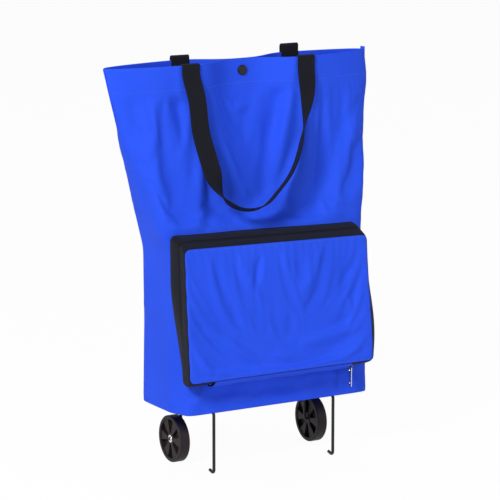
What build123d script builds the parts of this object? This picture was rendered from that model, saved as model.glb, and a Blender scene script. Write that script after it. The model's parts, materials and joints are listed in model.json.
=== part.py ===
from build123d import *
import math
import os

# Folding shopping trolley: a cloth tote on two wheels and a wire stand, with a zipped front pocket that the
# empty bag is stowed in.  Millimetres, +Z up, front of the bag towards -Y.  The origin is on the floor below
# the middle of the whole trolley.  While the pieces are made, X and Y are counted from the middle of the base.

# ---- Driving dimensions ---------------------------------------------------------------------------------

# Bag
bag_bottom_z = 84.0        # floor to the underside of the bag
bag_height = 444.0         # underside to hem
bottom_width = 266.0
bottom_depth = 112.0
mouth_width = 381.0
mouth_depth = 60.0
mouth_lean = -31.5         # the mouth leans to the left of the base
cloth = 1.0                # coated cloth with its turned seams
soft_gap = 0.3             # between soft pieces that lie against each other
seam_angle = 20.0          # side seams run on the back quarter of each side
seam_turn = 0.4            # degrees between the two cloths at a seam
board_thickness = 3.0
binding_thickness = 1.6
binding_half_angle = 4.0
binding_stub = 4.0         # binding left standing above the hem

# Snap fastener
snap_x = -19.0             # handles and snap share this centre line
snap_below_hem = 14.0
snap_cap_diameter = 13.0
snap_cap_height = 2.0
snap_ring_diameter = 11.0
snap_shank_diameter = 4.8
snap_hole_clearance = 0.1
snap_space = 4.0           # between the two cloths where the snap holds them
pinch_reach = 52.0         # how far the snap draws the mouth in on each side

# Handles
strap_width = 25.0
strap_thickness = 1.6
handle_spacing = 169.0
handle_tab_length = 38.0   # sewn inside the hem
hem_gap = 1.1              # a flat strap on curved cloth touches it only in places
front_rise = 3.0           # strap above the hem where it turns over
back_rise = 13.0
front_flap = 12.0          # strap down the outside before it swings
loop_slack = 1.35          # the swinging loop stands this far off the sewn ends

# Front pocket and its zip
pocket_x = -5.0
pocket_width = 264.0
pocket_height = 194.0
pocket_above_base = 37.0
pocket_face_y = 84.0       # face of the pocket in front of the middle of the base
pocket_top_droop = 14.0    # the face is shorter than the outline sewn to the bag
pocket_bottom_droop = 8.0
pocket_corner = 11.0
tape_thickness = 0.8
coil_width = 4.0
coil_thickness = 1.8
coil_from_face = 10.0
left_return = 34.0         # black tape turned in along the bottom
right_return = 30.0
stop_length = 2.5

# Zip slider and pull
slider_length = 9.0
slider_width = 7.5
slider_plate = 1.2
slider_clearance = 0.25
bridge_height = 4.2
bridge_wire = 1.2
bridge_width = 2.4
pull_length = 25.0
pull_width = 6.0
pull_thickness = 1.0
pull_pin = 1.2
pull_eye_clearance = 0.5
pull_side_clearance = 0.9  # the pull hangs plumb from a slanting slider

# Bent wires
wire = 4.0
wire_bend = 3.5
running_gap = 0.05
channel_cloth = 0.6
channel_flange = 16.0
channel_end_gap = 1.0
leg_x = 89.5
leg_setback = 2.6          # legs stand just behind the front edge of the base
leg_crank = 8.5            # the pivot run lies behind the legs
heel_bend = 4.0
hook_length = 11.0
hook_slope = 12.0          # degrees
arm_x = 94.2
axle_y = 27.0
arm_crank = 10.0           # the pivot run lies ahead of the axle

# Wheels
wheel_radius = 31.0
wheel_width = 14.0
wheel_centre_x = 104.0
tread_edge = 1.5
rim = 5.0
face_step = 1.0
web = 3.0
hub_radius = 7.5
hub_length = 11.0
spokes = 6
washer_radius = 5.0
washer_thickness = 0.8
nut_radius = 5.0
nut_thickness = 0.5
nut_dome = 1.1
nut_slots = 6
axle_stub = 3.0            # wire past the hub

# ---- Sizes that follow from them ------------------------------------------------------------------------

hem_z = bag_bottom_z + bag_height
wire_radius = wire / 2
channel_bore = wire_radius + running_gap
channel_radius = channel_bore + channel_cloth
run_z = bag_bottom_z - channel_radius
leg_y = -bottom_depth / 2 + leg_setback
leg_run_y = leg_y + leg_crank
arm_run_y = axle_y - arm_crank
hub_inner_x = wheel_centre_x - hub_length / 2
hub_outer_x = wheel_centre_x + hub_length / 2

# Rings of cloth from the base to the hem: share of the height, share of the way from the base to the mouth in
# width, in depth and in lean, squareness of the corners, and how far the snap draws front and back together.
RINGS = [
    (0.00, 0.00, 0.00, 0.00, 7.0, 0.00),
    (0.25, 0.26, 0.06, -0.03, 6.0, 0.00),
    (0.50, 0.36, 0.22, -0.03, 5.0, 0.00),
    (0.75, 0.68, 0.72, 0.48, 3.2, 0.40),
    (0.92, 0.92, 1.00, 0.86, 2.1, 1.00),
    (1.00, 1.00, 1.00, 1.00, 2.0, 1.00),
]
RING_STEP = 5.0            # degrees between points of a ring


# ---- Shape of the bag -----------------------------------------------------------------------------------

def ring_at(share):
    """Half width, half depth, middle, squareness and pinch at a share of the bag's height."""
    row = next((i for i in range(1, len(RINGS)) if share <= RINGS[i][0]), len(RINGS) - 1)
    low = RINGS[row - 1]
    high = RINGS[row]
    part = (share - low[0]) / (high[0] - low[0])
    wide, deep, lean, squareness, pinch = [a + (b - a) * part for a, b in zip(low[1:], high[1:])]
    half_width = (bottom_width + (mouth_width - bottom_width) * wide) / 2
    half_depth = (bottom_depth + (mouth_depth - bottom_depth) * deep) / 2
    return half_width, half_depth, mouth_lean * lean, squareness, pinch


def drawn_in(x, half_depth, pinch):
    """How much of its depth the bag keeps at x, where the snap holds front and back together."""
    held = 1 - (snap_space / 2 + cloth) / half_depth
    return 1 - pinch * held * math.exp(-abs((x - snap_x) / pinch_reach) ** 3)


def ring_point(share, angle, inset):
    """A point of the ring; angle 0 is the right side and 90 the back."""
    half_width, half_depth, middle, squareness, pinch = ring_at(share)
    c = math.cos(math.radians(angle))
    s = math.sin(math.radians(angle))
    x = middle + (half_width - inset) * math.copysign(abs(c) ** (2 / squareness), c)
    y = half_depth * math.copysign(abs(s) ** (2 / squareness), s) * drawn_in(x, half_depth, pinch)
    y -= inset * math.copysign(abs(s) ** (2 / squareness), s)
    return Vector(x, y, bag_bottom_z + bag_height * share)


def cloth_y(x, share):
    """Depth of the outside of the bag at x, counted from its middle plane."""
    half_width, half_depth, middle, squareness, pinch = ring_at(share)
    u = abs(x - middle) / half_width
    return half_depth * (1 - u**squareness) ** (1 / squareness) * drawn_in(x, half_depth, pinch)


def cloth_strip(shares, first_angle, last_angle, outer_inset, inner_inset):
    """A sheet of cloth that follows the rings between two angles, lofted up the given shares of the height."""
    steps = max(2, round((last_angle - first_angle) / RING_STEP))
    angles = [first_angle + (last_angle - first_angle) * i / steps for i in range(steps + 1)]
    sections = []
    for share in shares:
        outside = Spline(*[ring_point(share, angle, outer_inset) for angle in angles])
        inside = Spline(*[ring_point(share, angle, inner_inset) for angle in reversed(angles)])
        ends = [Line(outside @ 1, inside @ 0), Line(inside @ 1, outside @ 0)]
        sections.append(Face(Wire([outside, ends[0], inside, ends[1]])))
    return loft(sections, ruled=True)


def ring_plate(z, thickness, inset):
    """A flat plate with the outline of the base."""
    count = round(360 / RING_STEP)
    points = [ring_point(0, 360 * i / count, inset) for i in range(count)]
    plate = extrude(make_face(Spline(*points, periodic=True)), thickness, dir=(0, 0, 1))
    return Pos(0, 0, z - bag_bottom_z) * plate


def snap_hole():
    radius = snap_shank_diameter / 2 + snap_hole_clearance
    across = Cylinder(radius, mouth_depth, rotation=(90, 0, 0))
    return Pos(snap_x, 0, hem_z - snap_below_hem) * across


ring_shares = [row[0] for row in RINGS]


def front_panel():
    """Front and both sides in one piece, up to the side seams."""
    sheet = cloth_strip(ring_shares, 180 - seam_angle, 360 + seam_angle, 0, cloth)
    return sheet - snap_hole()


def back_panel():
    first = seam_angle + seam_turn
    return cloth_strip(ring_shares, first, 180 - first, 0, cloth) - snap_hole()


def bottom_panel():
    return ring_plate(bag_bottom_z, cloth, cloth + 2 * soft_gap)


def base_board():
    """Stiff board that lies loose on the bottom cloth."""
    return ring_plate(bag_bottom_z + cloth, board_thickness, cloth + 2)


def seam_binding(angle):
    """Folded tape over the raw seam, inside the bag, left standing a little above the hem."""
    start = (board_thickness + cloth + 1) / bag_height
    end = 1 + binding_stub / bag_height
    shares = [start] + ring_shares[1:-1] + [end]
    inset = cloth + 1.5 * soft_gap
    angles = (angle - binding_half_angle, angle + binding_half_angle)
    return cloth_strip(shares, *angles, inset, inset + binding_thickness)


# ---- Snap fastener --------------------------------------------------------------------------------------

def disc(diameter, y_from, y_to):
    """A round plate whose axis runs front to back, at the snap."""
    length = abs(y_to - y_from)
    plate = Cylinder(diameter / 2, length, rotation=(90, 0, 0))
    return Pos(snap_x, (y_from + y_to) / 2, hem_z - snap_below_hem) * plate


outer_y = snap_space / 2 + cloth + soft_gap


def snap_cap():
    """Domed black cap at the front, with the shank that goes through the cloth."""
    head = disc(snap_cap_diameter, -outer_y - snap_cap_height, -outer_y)
    rim_edge = head.edges().group_by(Axis.Y)[0]
    head = fillet(rim_edge, snap_cap_height * 0.7)
    return head + disc(snap_shank_diameter, -outer_y, soft_gap - snap_space / 2)


def snap_socket():
    ring = disc(snap_ring_diameter, soft_gap - snap_space / 2, 0)
    return ring - disc(snap_shank_diameter + 1, -snap_space / 4, 0)


def snap_stud():
    flange = disc(snap_ring_diameter, snap_space / 4, snap_space / 2 - soft_gap)
    return flange + disc(snap_shank_diameter, -snap_space / 4 + snap_hole_clearance, snap_space / 4)


def snap_post():
    """Flat rivet behind the back panel."""
    head = disc(snap_ring_diameter, outer_y, outer_y + snap_cap_height / 2)
    return head + disc(snap_shank_diameter, snap_space / 2 - soft_gap, outer_y)


# ---- Handles --------------------------------------------------------------------------------------------

handle_xs = [snap_x - handle_spacing / 2, snap_x + handle_spacing / 2]


def hem_place(x, side):
    """Middle of the hem's thickness at x, turned to follow the cloth.  side is -1 at the front."""
    reach = strap_width / 2
    run = cloth_y(x + reach, 1) - cloth_y(x - reach, 1)
    turn = math.degrees(math.atan2(side * run, strap_width))
    return Location((x, side * (cloth_y(x, 1) - cloth / 2), hem_z), (0, 0, turn))


def sewn_end(x, side, rise, flap):
    """End of a strap: sewn up the inside of the hem, turned over it, and a short way down the outside."""
    bend = (cloth + strap_thickness) / 2 + hem_gap
    top = rise - strap_thickness / 2 - bend
    half = strap_thickness / 2
    profile = Pos(0, top) * (Circle(bend + half) - Circle(bend - half))
    profile -= Pos(0, top - bend) * Rectangle(4 * bend, 2 * bend)
    inside = top + handle_tab_length
    outside = top + flap
    profile += Pos(bend, top - inside / 2) * Rectangle(strap_thickness, inside)
    profile += Pos(-bend, top - outside / 2) * Rectangle(strap_thickness, outside)
    strap = extrude(Plane.YZ * profile, strap_width / 2, both=True)
    if side > 0:
        strap = mirror(strap, about=Plane.XZ)
    return hem_place(x, side) * strap


def handle_ends(side, rise, flap):
    return Compound([sewn_end(x, side, rise, flap) for x in handle_xs])


# The loop hangs in a slack U.  Each point: share of the spacing from left to right, drop below the hem,
# and distance outside the bag's middle plane.
LOOP = [
    (0.00, 9.0, 0.0),
    (0.01, 35.0, 2.5),
    (0.06, 85.0, 10.0),
    (0.13, 125.0, 19.0),
    (0.23, 165.0, 32.0),
    (0.38, 187.0, 37.0),
    (0.56, 178.0, 36.0),
    (0.74, 150.0, 31.0),
    (0.88, 108.0, 25.0),
    (0.95, 68.0, 13.0),
    (0.99, 35.0, 3.5),
    (1.00, 9.0, 0.0),
]
LOOP_SECTIONS = 16


def eased(value, low, high):
    part = min(1, max(0, (value - low) / (high - low)))
    return part * part * (3 - 2 * part)


def loop_y():
    """Distance of the swinging strap's pivot from the middle plane, one layer outside the sewn ends."""
    hem = sum(cloth_y(x, 1) for x in handle_xs) / 2
    return hem + hem_gap + strap_thickness / 2 + strap_thickness + loop_slack


def handle_loop(side):
    """The free part of a strap: flat against the cloth at the top and turned on its side at the bottom."""
    places = []
    for across, drop, out in LOOP:
        x = handle_xs[0] + across * handle_spacing
        places.append(Vector(x, side * (loop_y() + out), hem_z - drop))
    path = Spline(*places)
    edges = [[], []]
    for i in range(LOOP_SECTIONS + 1):
        along = i / LOOP_SECTIONS
        heading = path % along
        roll = math.radians(90 * min(eased(along, 0.22, 0.45), 1 - eased(along, 0.74, 0.97)))
        flat = Vector(-heading.Z, 0, heading.X).normalized()
        width_way = flat * math.cos(roll) + Vector(0, -side, 0) * math.sin(roll)
        edges[0].append(path @ along - width_way * (strap_width / 2))
        edges[1].append(path @ along + width_way * (strap_width / 2))
    strip = Face.make_surface_from_curves(Spline(*edges[0]), Spline(*edges[1]))
    return thicken(strip, strap_thickness / 2, both=True)


# ---- Front pocket ---------------------------------------------------------------------------------------

pocket_low = bag_bottom_z + pocket_above_base
pocket_high = pocket_low + pocket_height
pocket_root_y = 30.0       # the walls are drawn back to here and then cut to the cloth


def pocket_outline(y, inset):
    """Rounded outline of the pocket at a distance y in front; the face droops below its sewn outline."""
    share = (y - bottom_depth / 2) / (pocket_face_y - bottom_depth / 2)
    low = pocket_low + pocket_bottom_droop * share + inset
    high = pocket_high - pocket_top_droop * share - inset
    outline = RectangleRounded(pocket_width - 2 * inset, high - low, pocket_corner - inset)
    place = Plane((pocket_x, -y, (low + high) / 2), x_dir=(1, 0, 0), z_dir=(0, -1, 0))
    return place * outline


def pocket_block(y_back, y_front, inset):
    return loft([pocket_outline(y_back, inset), pocket_outline(y_front, inset)])


def bag_block(grown):
    """The whole bag as one solid, for cutting what is sewn to it."""
    sections = []
    for share in ring_shares:
        points = [ring_point(share, RING_STEP * i, -grown) for i in range(round(360 / RING_STEP))]
        sections.append(Face(Wire([Spline(*points, periodic=True)])))
    return loft(sections, ruled=True)


def pocket_wall(y_back, y_front, outer_inset, thickness):
    """One band of the pocket's wall between two distances in front."""
    band = pocket_block(y_back, y_front, outer_inset)
    return band - pocket_block(y_back - 1, y_front + 1, outer_inset + thickness)


def bottom_window(margin):
    """The stretch of the pocket's bottom that is plain cloth, between the two returns of the zip."""
    left = pocket_x - pocket_width / 2 + left_return - margin
    right = pocket_x + pocket_width / 2 - right_return + margin
    height = pocket_height / 4
    box = Box(right - left, 4 * pocket_face_y, height)
    return Pos((left + right) / 2, -pocket_face_y, pocket_low + height / 2 - pocket_corner) * box


face_back_y = pocket_face_y - cloth
coil_front_y = face_back_y - coil_from_face
coil_back_y = coil_front_y - coil_width


def pocket_face():
    front = pocket_block(face_back_y, pocket_face_y, 0)
    return fillet(front.edges().group_by(Axis.Y)[0], cloth * 0.6)


def pocket_bottom(bag):
    wall = pocket_wall(pocket_root_y, face_back_y, 0, cloth) - bag
    return wall & bottom_window(-soft_gap / 2)


def zip_tape_rear(bag):
    """Black tape between the bag and the zip's coil."""
    return pocket_wall(pocket_root_y, coil_back_y, 0, tape_thickness) - bag - bottom_window(0)


def zip_tape_front():
    """Black tape between the coil and the pocket's face."""
    return pocket_wall(coil_front_y, face_back_y, 0, tape_thickness) - bottom_window(0)


def zip_coil():
    proud = (coil_thickness - tape_thickness) / 2
    coil = pocket_wall(coil_back_y, coil_front_y, -proud, coil_thickness)
    return coil - bottom_window(stop_length + soft_gap)


def stop_piece(x):
    """Metal clip on the end of the coil."""
    y = (coil_back_y + coil_front_y) / 2
    z = gusset_z(y) + tape_thickness / 2
    return Pos(x, -y, z) * Box(stop_length, coil_width, coil_thickness)


def gusset_z(y):
    """Outside of the pocket's bottom wall at a distance y in front."""
    share = (y - bottom_depth / 2) / (pocket_face_y - bottom_depth / 2)
    return pocket_low + pocket_bottom_droop * share


def zip_stops():
    left = pocket_x - pocket_width / 2 + left_return
    right = pocket_x + pocket_width / 2 - right_return
    half = stop_length / 2
    return Compound([stop_piece(left - half), stop_piece(right + half)])


# ---- Zip slider and pull --------------------------------------------------------------------------------

slider_y = (coil_back_y + coil_front_y) / 2
slider_x = pocket_x + pocket_width / 2 - right_return + stop_length + soft_gap + slider_length / 2
coil_middle_z = gusset_z(slider_y) + tape_thickness / 2
gusset_slope = math.degrees(math.atan2(pocket_bottom_droop, pocket_face_y - bottom_depth / 2))
plate_offset = coil_thickness / 2 + slider_clearance
arch_length = slider_length - 2.7
bridge_z = -plate_offset - slider_plate - bridge_height + bridge_wire + pull_pin / 2 + pull_eye_clearance


def slider_place():
    """At the coil, with local Z square to the slanting bottom of the pocket."""
    return Location((slider_x, -slider_y, coil_middle_z), (-gusset_slope, 0, 0))


def slider_plate_shape(z_from, z_to):
    """Shield-shaped plate, wider at the nose."""
    half = slider_length / 2
    outline = Polyline(
        (-half, -slider_width * 0.32),
        (-half * 0.2, -slider_width / 2),
        (half, -slider_width / 2),
        (half, slider_width / 2),
        (-half * 0.2, slider_width / 2),
        (-half, slider_width * 0.32),
        close=True,
    )
    plate = extrude(make_face(outline), abs(z_to - z_from), dir=(0, 0, 1))
    plate = fillet(plate.edges().filter_by(Axis.Z), 0.8)
    return Pos(0, 0, min(z_from, z_to)) * plate


def zip_slider():
    """Outer plate with its bridge, and the inner plate behind the coil."""
    under = slider_plate_shape(-plate_offset, -plate_offset - slider_plate)
    inner = slider_plate_shape(plate_offset, plate_offset + slider_plate)
    low = -plate_offset - slider_plate
    arch = Box(arch_length, bridge_width, bridge_height)
    window = Box(arch_length - 2 * bridge_wire, bridge_width + 1, bridge_height - bridge_wire)
    arch = Pos(0, 0, low - bridge_height / 2) * arch
    arch -= Pos(0, 0, low - (bridge_height - bridge_wire) / 2) * window
    place = slider_place()
    return Compound([place * (under + arch), place * inner])


def zip_pull():
    """Pin in the bridge, a stirrup round it, and a slim tapered blade."""
    pin_span = bridge_width + 2 * pull_side_clearance
    pin = Cylinder(pull_pin / 2, pin_span + 2 * pull_thickness, rotation=(90, 0, 0))
    below_pin = bridge_wire + pull_pin / 2 + pull_eye_clearance
    neck = math.hypot(arch_length / 2, below_pin) + pull_eye_clearance
    pull = pin
    for end in (-1, 1):
        y = end * (pin_span + pull_thickness) / 2
        pull += Pos(0, y, (pull_pin / 2 - neck) / 2) * Box(pull_pin, pull_thickness, neck + pull_pin / 2)
    blade = pull_length - neck
    outline = Polyline(
        (-pin_span / 2 - pull_thickness, -neck),
        (pin_span / 2 + pull_thickness, -neck),
        (pull_width / 2, -neck - blade * 0.3),
        (pull_width / 2, -neck - blade),
        (-pull_width / 2, -neck - blade),
        (-pull_width / 2, -neck - blade * 0.3),
        close=True,
    )
    plate = extrude(Plane.YZ * make_face(outline), pull_thickness / 2, both=True)
    eye = Pos(0, 0, -pull_length + pull_width * 0.7) * Cylinder(pull_width * 0.22, 4, rotation=(0, 90, 0))
    pull += plate - eye
    hang = slider_place() * Pos(0, 0, bridge_z)
    return Pos(*hang.position) * pull


# ---- Bent wires and their channels ----------------------------------------------------------------------

def bent_wire(points, bends):
    """Round wire with a cylinder along each run and part of a torus round each bend."""
    path = FilletPolyline(*points, radius=bends)
    lengths = []
    for edge in path.edges():
        start = edge @ 0
        heading = edge % 0
        section = Plane(start, z_dir=heading) * Circle(wire_radius)
        if edge.geom_type == GeomType.LINE:
            lengths.append(extrude(section, edge.length, dir=heading))
        else:
            centre = edge.arc_center
            axis = Axis(centre, (start - centre).cross(heading))
            lengths.append(revolve(section, axis, math.degrees(edge.length / edge.radius)))
    return lengths[0] + lengths[1:]


def leg_frame():
    """Stand: two legs with hooked feet, cranked back to the run that turns in its channel."""
    slope = math.radians(hook_slope)
    drop = heel_bend * ((1 + math.sin(slope)) / math.cos(slope) - 1)
    heel_z = wire_radius - drop
    tip = (leg_x, leg_y + hook_length, heel_z + hook_length * math.tan(slope))
    half = [tip, (leg_x, leg_y, heel_z), (leg_x, leg_y, run_z), (leg_x, leg_run_y, run_z)]
    points = half + [(-x, y, z) for x, y, z in reversed(half)]
    bends = [heel_bend, wire_bend, wire_bend, wire_bend, wire_bend, heel_bend]
    return bent_wire(points, bends)


def wheel_frame():
    """Axle stubs, arms and the run that turns in its channel, all one wire."""
    end_x = hub_outer_x + axle_stub
    half = [
        (end_x, axle_y, wheel_radius),
        (arm_x, axle_y, wheel_radius),
        (arm_x, axle_y, run_z),
        (arm_x, arm_run_y, run_z),
    ]
    points = half + [(-x, y, z) for x, y, z in reversed(half)]
    return bent_wire(points, wire_bend)


def wire_channel(reach, y):
    """Cloth sleeve sewn under the base, which the wire's run turns in."""
    length = 2 * (reach - wire_bend - channel_end_gap)
    sleeve = Cylinder(channel_radius, length, rotation=(0, 90, 0))
    flange_z = channel_radius - channel_cloth / 2
    sleeve += Pos(0, 0, flange_z) * Box(length, channel_flange, channel_cloth)
    sleeve -= Cylinder(channel_bore, length + 1, rotation=(0, 90, 0))
    return Pos(0, y, run_z) * sleeve


# ---- Wheels ---------------------------------------------------------------------------------------------

def spoke_recess(turn):
    """Wedge between two spokes, drawn in the wheel's plane."""
    inner = hub_radius
    outer = wheel_radius - rim
    half = 360 / spokes / 4
    start = turn - half
    low = CenterArc((0, 0), inner, start, 2 * half)
    high = CenterArc((0, 0), outer, start, 2 * half)
    sides = [Line(low @ 0, high @ 0), Line(low @ 1, high @ 1)]
    return make_face([low, high] + sides)


def wheel(x):
    """Moulded wheel: tread, rim, web, hub and wedge-shaped spokes, the same on both faces."""
    body = Cylinder(wheel_radius, wheel_width)
    body = fillet(body.edges().filter_by(GeomType.CIRCLE), tread_edge)
    depth = (wheel_width - web) / 2
    hub_step = (wheel_width - hub_length) / 2
    for face in (-1, 1):
        edge = face * wheel_width / 2
        step = Cylinder(wheel_radius - rim, face_step)
        body -= Pos(0, 0, edge - face * face_step / 2) * step
        hub_cut = Cylinder(hub_radius, hub_step)
        body -= Pos(0, 0, edge - face * hub_step / 2) * hub_cut
        for i in range(spokes):
            wedge = extrude(spoke_recess(360 * i / spokes), depth, dir=(0, 0, -face))
            body -= Pos(0, 0, edge) * wedge
    body -= Cylinder(channel_bore, wheel_width + 1)
    return Pos(x, axle_y, wheel_radius) * Rot(0, 90, 0) * body


def axle_washer(side):
    ring = Cylinder(washer_radius, washer_thickness) - Cylinder(wire_radius + 0.1, washer_thickness + 1)
    x = hub_inner_x - 0.2 - washer_thickness / 2
    return Pos(side * x, axle_y, wheel_radius) * Rot(0, 90, 0) * ring


def push_nut(side):
    """Domed star nut pushed on the end of the axle."""
    dish = Cylinder(nut_radius, nut_thickness)
    cone = Cone(nut_radius * 0.62, nut_radius * 0.45, nut_dome)
    dish += Pos(0, 0, (nut_thickness + nut_dome) / 2) * cone
    dish -= Cylinder(wire_radius + 0.02, 4 * nut_dome)
    for i in range(nut_slots):
        slot = Pos(nut_radius * 0.4, 0, 0) * Box(nut_radius * 0.36, 0.7, 4 * nut_dome)
        dish -= Rot(0, 0, 360 * i / nut_slots) * slot
    x = hub_outer_x + 0.2 + nut_thickness / 2
    return Pos(side * x, axle_y, wheel_radius) * Rot(0, side * 90, 0) * dish


# ---- Assembly -------------------------------------------------------------------------------------------

bag = bag_block(2 * soft_gap)
nodes = {
    "front_panel": front_panel(),
    "back_panel": back_panel(),
    "bottom_panel": bottom_panel(),
    "base_board": base_board(),
    "left_seam_binding": seam_binding(180 - seam_angle),
    "right_seam_binding": seam_binding(seam_angle),
    "snap_cap": snap_cap(),
    "snap_socket": snap_socket(),
    "snap_stud": snap_stud(),
    "snap_post": snap_post(),
    "front_handle_ends": handle_ends(-1, front_rise, front_flap),
    "front_handle": handle_loop(-1),
    "back_handle_ends": handle_ends(1, back_rise, back_rise + front_flap),
    "back_handle": handle_loop(1),
    "pocket_face": pocket_face(),
    "pocket_bottom": pocket_bottom(bag),
    "zip_tape_rear": zip_tape_rear(bag),
    "zip_tape_front": zip_tape_front(),
    "zip_coil": zip_coil(),
    "zip_stops": zip_stops(),
    "zip_slider": zip_slider(),
    "zip_pull": zip_pull(),
    "leg_channel": wire_channel(leg_x, leg_run_y),
    "wheel_channel": wire_channel(arm_x, arm_run_y),
    "leg_frame": leg_frame(),
    "wheel_frame": wheel_frame(),
    "left_wheel": wheel(-wheel_centre_x),
    "right_wheel": wheel(wheel_centre_x),
    "axle_washers": Compound([axle_washer(-1), axle_washer(1)]),
    "push_nuts": Compound([push_nut(-1), push_nut(1)]),
}

# The origin goes below the middle of the whole trolley.
box = Compound([shape for shape in nodes.values()]).bounding_box()
to_origin = Pos(-(box.min.X + box.max.X) / 2, -(box.min.Y + box.max.Y) / 2, 0)

os.makedirs("parts", exist_ok=True)
for name, shape in nodes.items():
    export_step(to_origin * shape, f"parts/{name}.step")

pivots = {
    "leg_fold": (0, leg_run_y, run_z),
    "wheel_fold": (0, arm_run_y, run_z),
    "left_wheel_spin": (-wheel_centre_x, axle_y, wheel_radius),
    "right_wheel_spin": (wheel_centre_x, axle_y, wheel_radius),
    "front_handle_swing": (snap_x, -loop_y(), hem_z - LOOP[0][1]),
    "back_handle_swing": (snap_x, loop_y(), hem_z - LOOP[0][1]),
    "zip_pull_swing": tuple((slider_place() * Pos(0, 0, bridge_z)).position),
}
for name, point in pivots.items():
    print(name, [round(value, 3) for value in (to_origin * Pos(*point)).position])
print("box", box.min, box.max)
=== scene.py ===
import json
import math

import bpy
import numpy as np
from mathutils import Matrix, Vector


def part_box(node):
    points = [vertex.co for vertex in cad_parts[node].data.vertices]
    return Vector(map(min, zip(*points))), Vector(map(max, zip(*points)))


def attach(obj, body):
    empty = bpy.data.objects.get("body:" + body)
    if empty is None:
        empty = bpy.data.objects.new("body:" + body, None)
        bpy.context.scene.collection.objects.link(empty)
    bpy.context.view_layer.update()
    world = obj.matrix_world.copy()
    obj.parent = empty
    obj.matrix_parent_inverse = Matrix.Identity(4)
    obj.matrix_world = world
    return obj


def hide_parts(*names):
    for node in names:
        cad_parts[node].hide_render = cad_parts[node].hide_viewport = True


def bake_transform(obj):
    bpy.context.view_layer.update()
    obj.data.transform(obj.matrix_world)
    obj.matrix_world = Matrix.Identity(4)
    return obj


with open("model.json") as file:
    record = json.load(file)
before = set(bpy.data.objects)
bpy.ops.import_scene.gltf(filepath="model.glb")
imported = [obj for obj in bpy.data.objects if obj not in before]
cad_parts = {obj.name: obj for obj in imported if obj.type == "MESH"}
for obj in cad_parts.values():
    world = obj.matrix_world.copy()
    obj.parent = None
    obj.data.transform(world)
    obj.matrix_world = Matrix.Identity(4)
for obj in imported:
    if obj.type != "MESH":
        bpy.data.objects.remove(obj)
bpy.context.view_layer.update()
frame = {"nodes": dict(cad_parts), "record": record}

MM = 0.001

# ---- Cloth of the bag ----
# One piece of blue coated oxford polyester makes the front and both sides, a second the back.  They are sewn
# together up the back quarter of each side.  The cloth stands by itself, creased and slightly slack.

board_low, board_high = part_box("base_board")
bag_x = (board_low.x + board_high.x) / 2
bag_y = (board_low.y + board_high.y) / 2
base_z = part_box("front_panel")[0].z
bag_bottom = base_z - 2.5 * MM  # the seam round the base hangs a little below it
hem_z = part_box("front_panel")[1].z
bag_height = hem_z - bag_bottom
base_width = 279 * MM
base_depth = 112 * MM
mouth_width = 384 * MM
mouth_depth = 60 * MM
mouth_lean = -26 * MM
cloth_thickness = 0.5 * MM
seam_low = 20.0  # degrees from the side to the seam, towards the back
seam_high = 3.0  # and at the hem
left_drift = 9 * MM  # the front corners of the base stand this far to the right
right_drift = 3 * MM

snap_low, snap_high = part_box("snap_cap")
snap_x = (snap_low.x + snap_high.x) / 2 - bag_x
snap_gap = 6 * MM  # front to back where the snap holds the mouth together
pinch_reach = 52 * MM

# Share of the height, then shares of the way from base to mouth in width, depth and lean, the squareness of
# the corners, and how far the snap draws front and back together.
BAG_RINGS = np.array([
    (0.00, 0.00, 0.00, 0.00, 18.0, 0.00),
    (0.25, 0.01, 0.06, -0.03, 14.0, 0.00),
    (0.46, 0.07, 0.20, 0.05, 9.0, 0.00),
    (0.75, 0.62, 0.72, 0.55, 3.4, 0.40),
    (0.92, 0.95, 1.00, 0.76, 2.1, 1.00),
    (1.00, 1.00, 1.00, 1.00, 1.9, 1.00),
])
kink_share = BAG_RINGS[2, 0]


def smooth_step(value, low, high):
    part = np.clip((value - low) / (high - low), 0, 1)
    return part * part * (3 - 2 * part)


def through_rows(rows, share):
    """Values between the rows of a table at a share of its first column, rounded where they turn."""
    reach = max(0.0, min(0.022, share, 1 - share))
    near = share + reach * np.linspace(-1, 1, 9)
    return np.array([np.interp(near, rows[:, 0], column).mean() for column in rows.T[1:]])


def ring_sizes(z):
    """Half width, half depth, middle, squareness and pinch of the bag at a height."""
    wide, deep, lean, squareness, pinch = through_rows(BAG_RINGS, (z - bag_bottom) / bag_height)
    half_width = (base_width + (mouth_width - base_width) * wide) / 2
    half_depth = (base_depth + (mouth_depth - base_depth) * deep) / 2
    return half_width, half_depth, mouth_lean * lean, squareness, pinch


def drawn_in(x, half_depth, pinch):
    """How much of its depth the bag keeps at x, where the snap holds front and back together."""
    held = 1 - snap_gap / 2 / half_depth
    return 1 - pinch * held * np.exp(-np.abs((x - snap_x) / pinch_reach) ** 3)


def corner_drift(x, y, z, half_width, half_depth):
    """How far a point low on the front stands to the right of where the seams would put it."""
    low = 1 - smooth_step(z, bag_bottom, bag_bottom + kink_share * bag_height)
    front = smooth_step(-y, 0.35 * half_depth, 0.9 * half_depth)
    left, right = (smooth_step(side * x, 0.2 * half_width, 0.95 * half_width) for side in (-1, 1))
    return low * front * (left_drift * left + right_drift * right)


def ring_points(z, turns):
    """Points round the bag at a height; turn 0 is the right side and 90 the back."""
    half_width, half_depth, middle, squareness, pinch = ring_sizes(z)
    c, s = np.cos(np.radians(turns)), np.sin(np.radians(turns))
    x = middle + half_width * np.sign(c) * np.abs(c) ** (2 / squareness)
    y = half_depth * np.sign(s) * np.abs(s) ** (2 / squareness) * drawn_in(x, half_depth, pinch)
    x = x + corner_drift(x, y, z, half_width, half_depth)
    return np.stack([x + bag_x, y + bag_y, np.full_like(x, z)], axis=1)


def seam_at(z):
    """Angle of the side seams at a height."""
    part = max(0, ((z - bag_bottom) / bag_height - kink_share) / (1 - kink_share))
    return seam_low + (seam_high - seam_low) * part


def length_along(points):
    """Length of a line as far as each of its points."""
    return np.concatenate([[0], np.cumsum(np.linalg.norm(np.diff(points, axis=0), axis=1))])


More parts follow.
